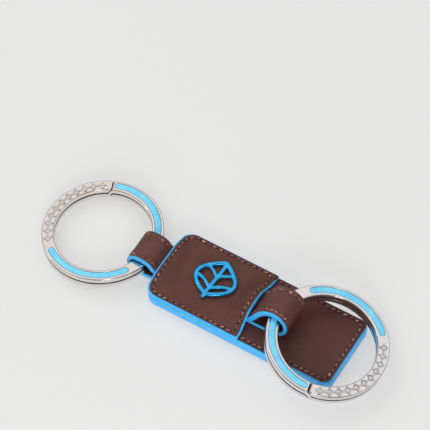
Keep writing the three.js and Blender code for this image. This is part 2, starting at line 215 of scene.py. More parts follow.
def thread_mat(name):
    m = Mat(name)
    c = m.noise(2600, 3, 0.6)
    tone = m.noise(620, 1, 0.5)
    col = m.ramp(c, [(0.3, srgb(108, 60, 54)), (0.55, srgb(160, 106, 98)), (0.75, srgb(212, 164, 154))])
    col = m.mix(m.map(tone, 0.42, 0.60, 0.0, 0.75), col, srgb(104, 54, 48))
    col = m.mix(m.map(tone, 0.30, 0.44, 0.55, 0.0), col, srgb(236, 196, 188))
    # painted shade where the thread enters its holes and between its plies
    col = m.mix(m.attr("shade"), col, srgb(40, 18, 17))
    h = m.bump(m.noise(9000, 2, 0.6), 0.4, 0.00005)
    m.set(Base_Color=col, Roughness=m.map(c, 0.3, 0.7, 0.5, 0.72), Normal=h, Sheen_Weight=0.35, Sheen_Roughness=0.4)
    return m.m


def nickel(name, tint):
    m = Mat(name)
    c = m.noise(260, 4, 0.6)
    f = m.noise(5200, 2, 0.5)
    col = m.mix(m.map(c, 0.3, 0.7, 0.0, 0.35), tint, (tint[0] * 0.9, tint[1] * 0.88, tint[2] * 0.86, 1))
    # painted shade: the shade attribute darkens the metal between the turns, at the tip, in the engraving and at the
    # groove rims
    col = m.mix(m.attr("shade"), col, srgb(44, 41, 40))
    scratch = m.noise(900, 6, 0.7, m.mapped((1, 1, 1), (0.4, 0.9, 0.3)), 1.5)
    r = m.map(scratch, 0.35, 0.65, 0.10, 0.22)
    h = m.bump(f, 0.04, 0.00002)
    m.set(Base_Color=col, Metallic=1.0, Roughness=r, Normal=h)
    return m.m


def enamel_mat(name):
    m = Mat(name)
    c = m.noise(420, 3, 0.5)
    col = m.ramp(c, [(0.35, srgb(98, 204, 248)), (0.6, srgb(120, 217, 252)), (0.8, srgb(142, 227, 252))])
    # painted shade at the inlay's edges
    col = m.mix(m.attr("shade"), col, srgb(60, 120, 150))
    h = m.bump(m.noise(300, 2, 0.5), 0.15, 0.0001)
    m.set(Base_Color=col, Roughness=m.map(c, 0.3, 0.7, 0.24, 0.34), Normal=h, Coat_Weight=0.3, Coat_Roughness=0.12)
    return m.m


def lacquer(name):
    m = Mat(name)
    c = m.noise(700, 3, 0.5)
    col = m.ramp(c, [(0.3, srgb(0, 158, 228)), (0.6, srgb(4, 180, 246)), (0.85, srgb(26, 200, 255))])
    # painted shade: darker low down on the wire
    col = m.mix(m.attr("shade"), col, srgb(0, 18, 58))
    h = m.bump(m.noise(900, 2, 0.5), 0.1, 0.00005)
    m.set(Base_Color=col, Metallic=0.75, Roughness=m.map(c, 0.3, 0.7, 0.16, 0.24), Normal=h, Coat_Weight=1.0, Coat_Roughness=0.05)
    return m.m


def board_mat(name):
    m = Mat(name)
    c = m.noise(1200, 4, 0.7)
    m.set(Base_Color=m.ramp(c, [(0.3, srgb(112, 92, 74)), (0.7, srgb(164, 140, 116))]), Roughness=m.map(c, 0.3, 0.7, 0.8, 0.95),
          Normal=m.bump(c, 0.5, 0.0001))
    return m.m


M_LEATHER = leather("leather_top", srgb(75, 40, 32), srgb(88, 50, 41), srgb(104, 62, 52), 0.5)
M_LEATHER_R = leather("leather_front", srgb(71, 36, 33), srgb(83, 44, 41), srgb(98, 55, 52), 0.5)
M_LEATHER_B = leather("leather_back", srgb(68, 36, 32), srgb(84, 46, 41), srgb(102, 60, 54), 0.5)
M_STRAP = leather("leather_strap", srgb(76, 41, 36), srgb(92, 52, 46), srgb(112, 68, 61), 0.44)
M_PAINT = edge_paint("edge_paint_blue", srgb(61, 177, 240), srgb(82, 193, 250), srgb(50, 161, 229))
M_THREAD = thread_mat("waxed_thread")
M_NICKEL = nickel("nickel_plate", (0.85, 0.795, 0.755, 1))
M_NICKEL_R = nickel("nickel_plate_right", (0.83, 0.80, 0.81, 1))
M_ENAMEL = enamel_mat("enamel_inlay")
M_LACQUER = lacquer("blue_lacquer")
M_BOARD = board_mat("pressed_board")


# ------------------------------------------------------------------ mesh helpers
def smooth01(t):
    t = np.clip(t, 0, 1)
    return t * t * (3 - 2 * t)


def make(name, verts, faces, mat, body=None, node=None, shade=None, rub_and_sheen=None, flat=False):
    v = np.asarray(verts, float) * MM
    me = bpy.data.meshes.new(name)
    me.from_pydata(v.tolist(), [], [tuple(int(i) for i in f) for f in faces])
    me.validate()
    if not flat:
        me.polygons.foreach_set("use_smooth", [True] * len(me.polygons))
    for key, val in (("shade", shade), ("rub_and_sheen", rub_and_sheen)):
        if val is not None:
            a = me.attributes.new(key, "FLOAT", "POINT")
            a.data.foreach_set("value", np.clip(np.asarray(val, np.float32), 0, 1))
    me.materials.append(mat)
    me.update()
    o = bpy.data.objects.new(name, me)
    bpy.context.scene.collection.objects.link(o)
    if body:
        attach(o, body)
    if node:
        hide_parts(*([node] if isinstance(node, str) else node))
    fix_normals(o)
    return o


def fix_normals(o):
    """turns every shell of the mesh so that its faces point out"""
    import bmesh
    bm = bmesh.new()
    bm.from_mesh(o.data)
    bmesh.ops.recalc_face_normals(bm, faces=bm.faces)
    bm.to_mesh(o.data)
    bm.free()
    o.data.update()


def grid_faces(nu, nv, off=0, flip=False):
    out = []
    for i in range(nu - 1):
        for j in range(nv - 1):
            a, b, c, d = off + i * nv + j, off + (i + 1) * nv + j, off + (i + 1) * nv + j + 1, off + i * nv + j + 1
            out.append((a, b, c, d) if not flip else (a, d, c, b))
    return out


def loft_faces(ns, m, closed, off=0, caps=True):
    out = []
    for s in range(ns if closed else ns - 1):
        a, b = off + s * m, off + ((s + 1) % ns) * m
        for k in range(m):
            k2 = (k + 1) % m
            out.append((a + k, a + k2, b + k2, b + k))
    if not closed and caps:
        out.append(tuple(off + k for k in range(m)))
        out.append(tuple(off + (ns - 1) * m + k for k in reversed(range(m))))
    return out


def spline(pts, n, closed=False):
    """smooth curve through the points (Catmull-Rom by chord length), n samples"""
    P = np.asarray(pts, float)
    if closed:
        P = np.vstack([P, P[:1]])
    d = np.r_[0, np.cumsum(np.sqrt(np.linalg.norm(np.diff(P[:, :2], axis=0), axis=1)))]
    if closed:
        d2 = np.r_[d[-3] - d[-1], d[-2] - d[-1], d, d[-1] + d[1], d[-1] + d[2]]
        P2 = np.vstack([P[-3], P[-2], P, P[1], P[2]])
    else:
        d2 = np.r_[d[0] - d[1], d, 2 * d[-1] - d[-2]]
        P2 = np.vstack([2 * P[0] - P[1], P, 2 * P[-1] - P[-2]])
    lo, hi = d[0], d[-1]
    ts = np.linspace(lo, hi, n, endpoint=not closed)
    out = []
    for t in ts:
        i = min(max(np.searchsorted(d2, t, side="right") - 1, 1), len(d2) - 3)
        t0, t1, t2, t3 = d2[i - 1:i + 3]
        p0, p1, p2, p3 = P2[i - 1:i + 3]
        m1 = ((p2 - p1) / (t2 - t1) - (p2 - p0) / (t2 - t0) + (p1 - p0) / (t1 - t0)) * (t2 - t1)
        m2 = ((p3 - p2) / (t3 - t2) - (p3 - p1) / (t3 - t1) + (p2 - p1) / (t2 - t1)) * (t2 - t1)
        u = (t - t1) / (t2 - t1)
        out.append((2 * u**3 - 3 * u**2 + 1) * p1 + (u**3 - 2 * u**2 + u) * m1 + (-2 * u**3 + 3 * u**2) * p2 + (u**3 - u**2) * m2)
    return np.array(out)


def even(path, step, closed):
    """points at an even spacing along a polyline"""
    P = np.asarray(path, float)
    if closed:
        P = np.vstack([P, P[:1]])
    d = np.r_[0, np.cumsum(np.linalg.norm(np.diff(P, axis=0), axis=1))]
    n = max(2, int(round(d[-1] / step)))
    s = np.linspace(0, d[-1], n + 1)
    if closed:
        s = s[:-1]
    return np.stack([np.interp(s, d, P[:, k]) for k in range(P.shape[1])], 1)


def noise2(x, y, seed=0, scale=1.0):
    """smooth cheap variation, about -1 to 1"""
    r = np.random.default_rng(seed)
    out = np.zeros(np.broadcast(x, y).shape)
    for k in range(7):
        a, f = r.uniform(0, 2 * math.pi), scale * r.uniform(0.5, 1.6)
        out += np.sin((x * math.cos(a) + y * math.sin(a)) * f + r.uniform(0, 6.28)) * np.cos((y * math.cos(a) - x * math.sin(a)) * f * 0.8 + r.uniform(0, 6.28))
    return out / 3.0


# ------------------------------------------------------------------ fob form
def across(y, flat, fade, centre=-0.44):
    return 1 - smooth01((np.abs(y - centre) - flat) / (fade - flat))


def along(t):
    return np.where(t >= 1, 0, np.cos(math.pi / 2 * np.clip(t, 0, 1)) ** 2)


def lift(x, y):
    return 3.0 * across(y, 2.3, 10.7, -0.9) * along((MOUTH - 0.5 - x) / 9.0) + 1.6 * across(y, 4.6, 10.4) * along((x - X0) / 7.0)


def setback(y):
    return 0.5 * across(y, 1.0, 11.2, -0.9) + 0.22 * y / HALF_W


def edge_distance(x, y, x1, r1):
    """distance inwards from the fob's left, near and far sides and from the side at x1 with corner radius r1"""
    d = np.minimum(np.minimum(x - X0, x1 - x), HALF_W - np.abs(y))
    for cx, r, s in ((X0 + L_R, L_R, -1), (x1 - r1, r1, 1)):
        if r <= 0:
            continue
        cy = HALF_W - r
        inside = ((x - cx) * s > 0) & (np.abs(y) > cy)
        d = np.where(inside, r - np.hypot(x - cx, np.abs(y) - cy), d)
    return d


def fob_loop(d, n_arc=10, step=1.0, skip_left=False):
    """closed outline of the fob inset by d, matched point for point whatever d is"""
    x0, x1, h = X0 + d, -X0 - d, HALF_W - d
    rl, rr = max(L_R - d, 0.05), max(R_R - d, 0.05)
    pts = []

    def arc(cx, cy, r, a0):
        for i in range(n_arc + 1):
            a = math.radians(a0 + 90 * i / n_arc)
            pts.append((cx + r * math.cos(a), cy + r * math.sin(a)))

    def line(p, q, n):
        for i in range(1, n):
            t = i / n
            pts.append((p[0] + (q[0] - p[0]) * t, p[1] + (q[1] - p[1]) * t))
    nl, ns = int(52 / step), int(17 / step)
    arc(x0 + rl, -h + rl, rl, 180)
    line((x0 + rl, -h), (x1 - rr, -h), nl)
    arc(x1 - rr, -h + rr, rr, 270)
    line((x1, -h + rr), (x1, h - rr), ns)
    arc(x1 - rr, h - rr, rr, 0)
    line((x1 - rr, h), (x0 + rl, h), nl)
    arc(x0 + rl, h - rl, rl, 90)
    line((x0, h - rl), (x0, -h + rl), ns)
    return np.array(pts)


def graded(a, b, fine, coarse, margin=2.0):
    """stations from a to b, close together near both ends"""
    n1 = int(margin / fine)
    left = a + np.linspace(0, margin, n1 + 1)
    right = b - np.linspace(margin, 0, n1 + 1)
    mid = np.linspace(a + margin, b - margin, max(2, int((b - a - 2 * margin) / coarse)) + 1)[1:-1]
    return np.r_[left, mid, right]


# ------------------------------------------------------------------ stitching
class Stitch:
    """a run of stitches along a path of (x, y)"""

    def __init__(self, path, closed, pitch, seed):
        self.closed = closed
        self.pts = even(path, pitch, closed)
        r = np.random.default_rng(seed)
        self.jit = r.normal(0, 0.05, self.pts.shape)
        self.pts = self.pts + self.jit
        self.r = r
        self.n = len(self.pts) if closed else len(self.pts) - 1

    def dips(self, x, y):
        """how deep the leather is drawn in by the holes and by the thread's pull"""
        hole = np.zeros(x.shape)
        for px, py in self.pts:
            near = (np.abs(x - px) < 0.9) & (np.abs(y - py) < 0.9)
            if near.any():
                q = np.exp(-((x[near] - px) ** 2 + (y[near] - py) ** 2) / (2 * 0.25**2))
                hole[near] = np.maximum(hole[near], q)
        line = np.full(x.shape, 9.0)
        P = np.vstack([self.pts, self.pts[:1]]) if self.closed else self.pts
        for (ax, ay), (bx, by) in zip(P[:-1], P[1:]):
            near = (x > min(ax, bx) - 1.2) & (x < max(ax, bx) + 1.2) & (y > min(ay, by) - 1.2) & (y < max(ay, by) + 1.2)
            if near.any():
                vx, vy = bx - ax, by - ay
                t = np.clip(((x[near] - ax) * vx + (y[near] - ay) * vy) / (vx * vx + vy * vy), 0, 1)
                line[near] = np.minimum(line[near], np.hypot(x[near] - ax - t * vx, y[near] - ay - t * vy))
        groove = np.exp(-(line / 0.42) ** 2)
        return hole, groove


def thread_shell(p, q, up, side_tilt, width=0.21, height=0.15, sink=0.13, rise=0.06, nseg=14, nr=12, seed=0):
    """one stitch: a two-ply twisted strand from p to q that comes out of one hole and dives into the next"""
    p, q, up = np.array(p, float), np.array(q, float), np.array(up, float)
    axis = q - p
    L = np.linalg.norm(axis)
    axis /= L
    side = np.cross(up, axis)
    side /= np.linalg.norm(side)
    verts, shade = [], []
    ph = seed * 1.7
    for i in range(nseg + 1):
        t = i / nseg
        along_ = p + axis * L * t + side * side_tilt * (t - 0.5)
        arch = math.sin(math.pi * t)
        h = -sink * (1 - min(1, arch * 2.2)) + rise * arch
        taper = 0.35 + 0.65 * min(1, math.sin(math.pi * min(max(t, 0.0), 1.0)) * 2.6)
        if i in (0, nseg):
            taper = 0.15
        for k in range(nr):
            a = 2 * math.pi * k / nr
            ply = 1 + 0.16 * math.cos(2 * (a - ph) - 7.5 * t)
            verts.append(along_ + side * (math.cos(a) * width * ply * taper) + up * (h + math.sin(a) * height * ply * taper))
            # painted shade: darker where the strand dives into its holes and in the grooves between the plies
            shade.append(max(0.0, 0.85 - 2.2 * arch) + 0.25 * max(0, -math.cos(2 * (a - ph) - 7.5 * t)))
    return verts, shade


def stitch_mesh(name, items, body, node, blend=None):
    V, F, S = [], [], []
    for k, (p, q, up, tilt) in enumerate(items):
        v, s = thread_shell(p, q, up, tilt, seed=k, width=0.21 * (1 + 0.08 * math.sin(k * 2.3)))
        off = len(V)
        V += v
        S += s
        F += loft_faces(15, 12, False, off)
    o = make(name, V, F, M_THREAD, None if blend else body, node, shade=S)
    if blend:
        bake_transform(o)
    return o


def surface_stitches(run, z, inset=0.25, tilt=0.22):
    out = []
    n = len(run.pts)
    for i in range(run.n):
        a, b = run.pts[i], run.pts[(i + 1) % n]
        d = (b - a) / np.linalg.norm(b - a)
        a2, b2 = a + d * inset, b - d * inset
        za, zb = float(z(np.array(a2[0]), np.array(a2[1]))), float(z(np.array(b2[0]), np.array(b2[1])))
        zm = float(z(np.array((a2[0] + b2[0]) / 2), np.array((a2[1] + b2[1]) / 2)))
        p, q = np.array([*a2, za]), np.array([*b2, zb])
        dx = 0.2
        gx = (float(z(np.array((a2[0] + b2[0]) / 2 + dx), np.array((a2[1] + b2[1]) / 2))) - zm) / dx
        gy = (float(z(np.array((a2[0] + b2[0]) / 2), np.array((a2[1] + b2[1]) / 2 + dx))) - zm) / dx
        up = np.array([-gx, -gy, 1.0])
        up /= np.linalg.norm(up)
        out.append((p, q, up, tilt + run.r.normal(0, 0.1)))
    return out


# seam lines
def corner(cx, cy, r, a0, a1, n=8):
    return [(cx + r * math.cos(math.radians(a0 + (a1 - a0) * i / n)), cy + r * math.sin(math.radians(a0 + (a1 - a0) * i / n))) for i in range(n + 1)]


IN_P = 1.3
hp = HALF_W - IN_P
xl = X0 + 1.35
panel_path = corner(xl + 2.3, -hp + 2.3, 2.3, 180, 270) + [(x, -hp) for x in np.arange(X0 + 5, MOUTH - 3, 1.0)]
panel_path += [(MOUTH - 1.75 - setback(y) * 0.95, y) for y in np.linspace(-hp, hp, 26)]
panel_path += [(x, hp) for x in np.arange(MOUTH - 3, X0 + 5, -1.0)] + corner(xl + 2.3, hp - 2.3, 2.3, 90, 180)
run_panel = Stitch(panel_path, True, 1.86, 11)

IN_B = 1.45
hb, xr = HALF_W - IN_B, -X0 - 1.6
base_path = [(MOUTH + 0.2, -hb)] + corner(xr - 1.9, -hb + 1.9, 1.9, 270, 360) + corner(xr - 1.9, hb - 1.9, 1.9, 0, 90) + [(MOUTH + 0.2, hb)]
run_base = Stitch(base_path, False, 1.86, 12)
back_path = corner(xl + 2.3, -hb + 2.3, 2.3, 180, 270) + corner(xr - 1.9, -hb + 1.9, 1.9, 270, 360) + corner(xr - 1.9, hb - 1.9, 1.9, 0, 90) + corner(xl + 2.3, hb - 2.3, 2.3, 90, 180)
run_back = Stitch(back_path, True, 1.86, 13)


# ------------------------------------------------------------------ top panel
PAINT_IN = 0.42


def rim(d):
    """the leather's top rolls down to its painted edge"""
    t = np.clip(1 - (d - PAINT_IN) / 0.7, 0, 1)
    return 0.26 * t**2.2


def panel_top(x, y):
    return Z_PANEL + lift(x, y)


def panel_surface(x, y, hole=None, groove=None):
    z = panel_top(x, y)
    d = edge_distance(x, y, MOUTH + 5, 0)
    dm = MOUTH - setback(y) - x
    d = np.minimum(d, dm)
    z = z - rim(d) + 0.035 * noise2(x, y, 3, 0.55) + 0.012 * noise2(x, y, 4, 1.9)
    if hole is not None:
        z = z - 0.11 * groove - 0.16 * hole
    return z, d


def leather_sheet(name, xs, half, surf, under, run, mat, body, node, ny_fine=0.14, ny=0.24, pull=None, crease=1.0):
    ys = graded(-1, 1, 1, 1, 0.0) if False else None
    base = graded(-10, 10, ny_fine, ny, 2.2) / 10.0
    X, Y = [], []
    for x in xs:
        h = half(x)
        edge = np.sign(base) * (h - (1 - np.abs(base)) * 10.0 * (h / 10.0 if h < 10 else 1.0) * (1 if h < 10 else 1))
        y = base * h if h < 10.0 else np.where(np.abs(base) > 0.78, np.sign(base) * (h - (1 - np.abs(base)) * 10.0), base / 0.78 * (h - 2.2))
        X.append(np.full(len(base), x))
        Y.append(y)
    X, Y = np.array(X), np.array(Y)
    if pull is not None:
        X = pull(X, Y)
    hole, groove = run.dips(X, Y)
    Z, d = surf(X, Y, hole, groove)
    nu, nv = X.shape
    top = np.stack([X, Y, Z], -1).reshape(-1, 3)
    # the underside follows the same stations, joined to the rim all round
    # painted shade in the stitch holes, along the seam groove and in the crease at the painted edge
    shade = np.clip(1.0 * hole**1.1 + 0.24 * groove + crease * 0.75 * np.exp(-((d - PAINT_IN) / 0.22) ** 2), 0, 1)
    rub_and_sheen = np.clip(0.35 * np.exp(-((d - 1.0) / 0.35) ** 2) * (0.6 + 0.4 * noise2(X, Y, 21, 1.2)) - 0.2 * groove, 0, 1)
    V = list(top)
    F = grid_faces(nu, nv)
    rimi = [i * nv for i in range(nu)] + [(nu - 1) * nv + j for j in range(1, nv)] + [i * nv + nv - 1 for i in range(nu - 2, -1, -1)] + [j for j in range(nv - 2, 0, -1)]
    low = []
    for k in rimi:
        x, y, z = top[k]
        low.append(len(V))
        V.append(np.array([x, y, under(x, y)]))
    for a in range(len(rimi)):
        b = (a + 1) % len(rimi)
        F.append((rimi[a], low[a], low[b], rimi[b]))
    # underside skin
    off = len(V)
    Zb = under(X, Y)
    V += list(np.stack([X, Y, Zb], -1).reshape(-1, 3))
    inner = grid_faces(nu, nv, off, True)
    F += inner
    lowmap = {off + k: low[i] for i, k in enumerate(rimi)}
    F = [tuple(lowmap.get(i, i) for i in f) for f in F]
    used = sorted({i for f in F for i in f})
    remap = {o: n for n, o in enumerate(used)}
    S = np.r_[shade.ravel(), np.zeros(len(V) - shade.size)]
    R = np.r_[rub_and_sheen.ravel(), np.zeros(len(V) - rub_and_sheen.size)]
    return make(name, [V[i] for i in used], [tuple(remap[i] for i in f) for f in F], mat, body, node, shade=S[used], rub_and_sheen=R[used])


def half_left(x):
    d = PAINT_IN
    r = L_R - d
    t = x - (X0 + d)
    return HALF_W - d if t >= r else HALF_W - d - r + math.sqrt(max(0, r * r - (r - t) ** 2))


xs = np.r_[X0 + PAINT_IN + (L_R - PAINT_IN) * (1 - np.cos(np.linspace(0, math.pi / 2, 20))),
           np.linspace(X0 + L_R + 0.2, MOUTH - 3.2, 88), np.linspace(MOUTH - 3.0, MOUTH - PAINT_IN, 22)]
pull = lambda X, Y: X - setback(Y) * smooth01((X - (MOUTH - 6)) / (6 - PAINT_IN))
top_panel = leather_sheet("top_panel_leather", xs, half_left, panel_surface, lambda x, y: Z_BASE + 0.02 + lift(x, y), run_panel, M_LEATHER, "fob", "top_panel", pull=pull)
seam_z = lambda x, y: panel_surface(x, y)[0] - 0.05
stitch_mesh("top_panel_stitches", surface_stitches(run_panel, seam_z), "fob", "panel_seam")


# ------------------------------------------------------------------ front and back panels
def front_surface(x, y, hole=None, groove=None):
    d = edge_distance(x, y, -X0, R_R)
    z = Z_BASE - rim(d) + 0.025 * noise2(x, y, 31, 0.5) + 0.012 * noise2(x, y, 32, 1.7)
    z = z - 0.06 * smooth01((8 - np.abs(y)) / 5) * smooth01((MOUTH + 14 - x) / 4)
    if hole is not None:
        z = z - 0.11 * groove - 0.16 * hole
    return np.minimum(z, Z_BASE + 0.04), d


def half_right(x):
    d = PAINT_IN
    r = R_R - d
    t = (-X0 - d) - x
    return HALF_W - d if t >= r else HALF_W - d - r + math.sqrt(max(0, r * r - (r - t) ** 2))


xs = np.r_[np.linspace(X0 + 19, -X0 - R_R - 0.2, 140), -X0 - R_R + (R_R - PAINT_IN) * np.sin(np.linspace(0, math.pi / 2, 18))]
leather_sheet("front_panel_leather", xs, half_right, front_surface, lambda x, y: Z_CORE + 0.02 + 0 * x, run_base, M_LEATHER_R, "fob", "front_panel")
stitch_mesh("base_stitches", surface_stitches(run_base, lambda x, y: front_surface(x, y)[0] - 0.05), "fob", "base_seam")


def back_panel():
    """the fob's underside: leather with a sunk seam, seen from below"""
    base = graded(-10, 10, 0.18, 0.4, 2.2) / 10.0
    xs = np.r_[X0 + PAINT_IN + (L_R - PAINT_IN) * (1 - np.cos(np.linspace(0, math.pi / 2, 14))),
               np.linspace(X0 + L_R + 0.2, -X0 - R_R - 0.2, 190), -X0 - R_R + (R_R - PAINT_IN) * np.sin(np.linspace(0, math.pi / 2, 14))]
    X, Y = [], []
    for x in xs:
        h = min(half_left(x), half_right(x))
        X.append(np.full(len(base), x))
        Y.append(base * h if h < 10 else np.where(np.abs(base) > 0.78, np.sign(base) * (h - (1 - np.abs(base)) * 10.0), base / 0.78 * (h - 2.2)))
    X, Y = np.array(X), np.array(Y)
    hole, groove = run_back.dips(X, Y)
    d = edge_distance(X, Y, -X0, R_R)
    Z = 0.0 + rim(d) * 0.8 + 0.20 * groove + 0.15 * hole
    nu, nv = X.shape
    V = np.stack([X, Y, Z], -1).reshape(-1, 3)
    V2 = np.stack([X, Y, np.full(X.shape, Z_BACK - 0.02)], -1).reshape(-1, 3)
    F = grid_faces(nu, nv, 0, True) + grid_faces(nu, nv, nu * nv)
    rimi = [i * nv for i in range(nu)] + [(nu - 1) * nv + j for j in range(1, nv)] + [i * nv + nv - 1 for i in range(nu - 2, -1, -1)] + [j for j in range(nv - 2, 0, -1)]
    for a in range(len(rimi)):
        b = (a + 1) % len(rimi)
        F.append((rimi[a], rimi[b], rimi[b] + nu * nv, rimi[a] + nu * nv))
    # painted shade in the stitch holes, along the seam groove and in the crease at the painted edge
    S = np.clip(0.9 * hole**1.5 + 0.22 * groove + 0.7 * np.exp(-((d - PAINT_IN) / 0.22) ** 2), 0, 1).ravel()
    make("back_panel_leather", np.vstack([V, V2]), F, M_LEATHER_B, "fob", "back_panel", shade=np.r_[S, S * 0])
    items = []
    for p, q, up, tilt in surface_stitches(run_back, lambda x, y: 0 * x + 0.0):
        items.append((np.array([p[0], p[1], 0.24]), np.array([q[0], q[1], 0.24]), np.array([0, 0, -1.0]), tilt))
    stitch_mesh("back_stitches", items, "fob", None)


back_panel()


# ------------------------------------------------------------------ edge paint
def paint_band(name, loops, closed, mat, body, node, shade_rows=None, blend=None):
    """skin through matching loops; loops[k] is the k-th row of the bead's section"""
    rows = np.array(loops)                                # rows, points, 3
    m, n = rows.shape[:2]
    V = rows.transpose(1, 0, 2).reshape(-1, 3)            # station by station
    F = loft_faces(n, m, closed)
    S = np.stack([np.broadcast_to(r, n) for r in (shade_rows if shade_rows is not None else np.zeros(m))], 1).ravel()
    o = make(name, V, F, mat, None if blend else body, node, shade=S)
    if blend:
        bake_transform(o)
    return o


# section of the base's bead: (inset, height share, painted shade); the outside bulges and its ends curl over the
# leathers' edges, darkened with painted shade where they tuck in
SECTION = [(0.62, 0.0, 0.5), (0.36, 0.0, 0.25), (0.16, 0.045, 0), (0.05, 0.13, 0), (0.015, 0.26, 0), (0.0, 0.42, 0), (0.0, 0.58, 0), (0.015, 0.74, 0), (0.05, 0.87, 0),
           (0.15, 0.955, 0), (0.34, 1.0, 0.1), (0.55, 0.985, 0.6), (0.66, 0.9, 0.8)]


def far_side(p):
    """1 along the fob's far long side, fading at its corners"""
    return smooth01((p[:, 1] - (HALF_W - 2.6)) / 2.1)


def near_strap(p):
    return (p[:, 0] < X0 + 1.2) & (p[:, 1] < STRAP_Y[1] + 0.2) & (p[:, 1] > STRAP_Y[0] - 0.2)


def base_paint():
    loops, shades = [], []
    ref = fob_loop(0.0, step=0.6)
    drop = near_strap(ref)
    for k, (d, s, sh) in enumerate(SECTION):
        p = fob_loop(d, step=0.6)
        wav = 0.035 * noise2(ref[:, 0] * 0.9, ref[:, 1] * 0.9, 41 + (k % 3), 0.8)
        on_panel = ref[:, 0] < MOUTH - 0.3
        top = np.where(drop, 0.98, np.where(on_panel, 3.66, 3.62))
        top = top - 0.58 * far_side(ref)
        z = 0.06 + (top - 0.06) * s
        nrm = ref - fob_loop(0.5, step=0.6)
        nrm /= np.linalg.norm(nrm, axis=1)[:, None]
        p = p + nrm * np.minimum(wav, 0.0)[:, None] * (1 if 0.04 < s < 0.96 else 0)
        loops.append(np.c_[p, z])
        # painted shade: the bead's top darkens along the far side
        shades.append(np.maximum(sh, 0.5 * smooth01((s - 0.7) / 0.25) * far_side(ref)))
    paint_band("base_edge_bead", loops, True, M_PAINT, "fob", "base_edge_paint", shades)


base_paint()


def panel_loop(d):
    h, r, x0 = HALF_W - d, max(L_R - d, 0.1), X0 + d
    pts = [(x0 + r + r * math.cos(math.radians(180 + 9 * i)), -h + r + r * math.sin(math.radians(180 + 9 * i))) for i in range(11)]
    pts += [(x, -h) for x in np.linspace(X0 + L_R, MOUTH - 1.2, 46)[1:]]
    rc = 0.55
    ys = np.r_[-h + np.array([0.0, 0.12, 0.3]), np.linspace(-h + 0.6, h - 0.6, 62), h - np.array([0.3, 0.12, 0.0])]
    for y in ys:
        e = max(0, rc - (h - abs(y)))
        pts.append((MOUTH - d - setback(y) - (rc - math.sqrt(max(0, rc * rc - e * e))), y))
    pts += [(x, h) for x in np.linspace(MOUTH - 1.2, X0 + L_R, 46)[:-1]]
    pts += [(x0 + r + r * math.cos(math.radians(90 + 9 * i)), h - r + r * math.sin(math.radians(90 + 9 * i))) for i in range(11)]
    pts += [(x0, y) for y in np.linspace(h - r, -h + r, 30)[1:-1]]
    return np.array([(float(a), float(b)) for a, b in pts])


def panel_paint():
    loops, shades = [], []
    ref = panel_loop(0.0)
    for k, (d, s, sh) in enumerate(SECTION):
        p = panel_loop(d * 0.95)
        rise = lift(p[:, 0], p[:, 1])
        mouth = smooth01((p[:, 0] - (MOUTH - 2.0)) / 1.0) * np.clip(rise / 3.0, 0, 1)
        top = Z_BASE + rise + 0.84 - 0.64 * far_side(ref) + 0.06 * mouth
        bot = Z_BASE + rise - 0.5 * mouth
        loops.append(np.c_[p, bot + (top - bot) * s])
        # painted shade: the paint is darker along the far side's upper lip
        shades.append(np.maximum(sh, 0.62 * smooth01((s - 0.5) / 0.4) * far_side(ref)))
    paint_band("top_panel_edge_bead", loops, True, M_PAINT, "fob", "top_panel_edge_paint", shades)


panel_paint()


# ------------------------------------------------------------------ emblem: a leaf of round wire
def tube(path, r, n=14, closed=False, taper=None, ry=None):
    P = np.asarray(path, float)
    V = []
    N = len(P)
    for i in range(N):
        a = P[(i - 1) % N] if closed else P[max(0, i - 1)]
        b = P[(i + 1) % N] if closed else P[min(N - 1, i + 1)]
        t = (b - a) / np.linalg.norm(b - a)
        side = np.cross(t, (0, 0, 1.0))
        side /= np.linalg.norm(side)
        up = np.cross(side, t)
        s = taper[i] if taper is not None else 1.0
        for k in range(n):
            w = 2 * math.pi * k / n
            V.append(P[i] + side * r * s * math.cos(w) + up * (ry or r) * s * math.sin(w))
    return V, loft_faces(N, n, closed)


def dome_taper(n, r, step):
    """rounded wire ends"""
    t = np.ones(n)
    for i in range(n):
        d = min(i, n - 1 - i) * step
        if d < r:
            t[i] = math.sqrt(max(0.02, 1 - (1 - d / r) ** 2))
    return t


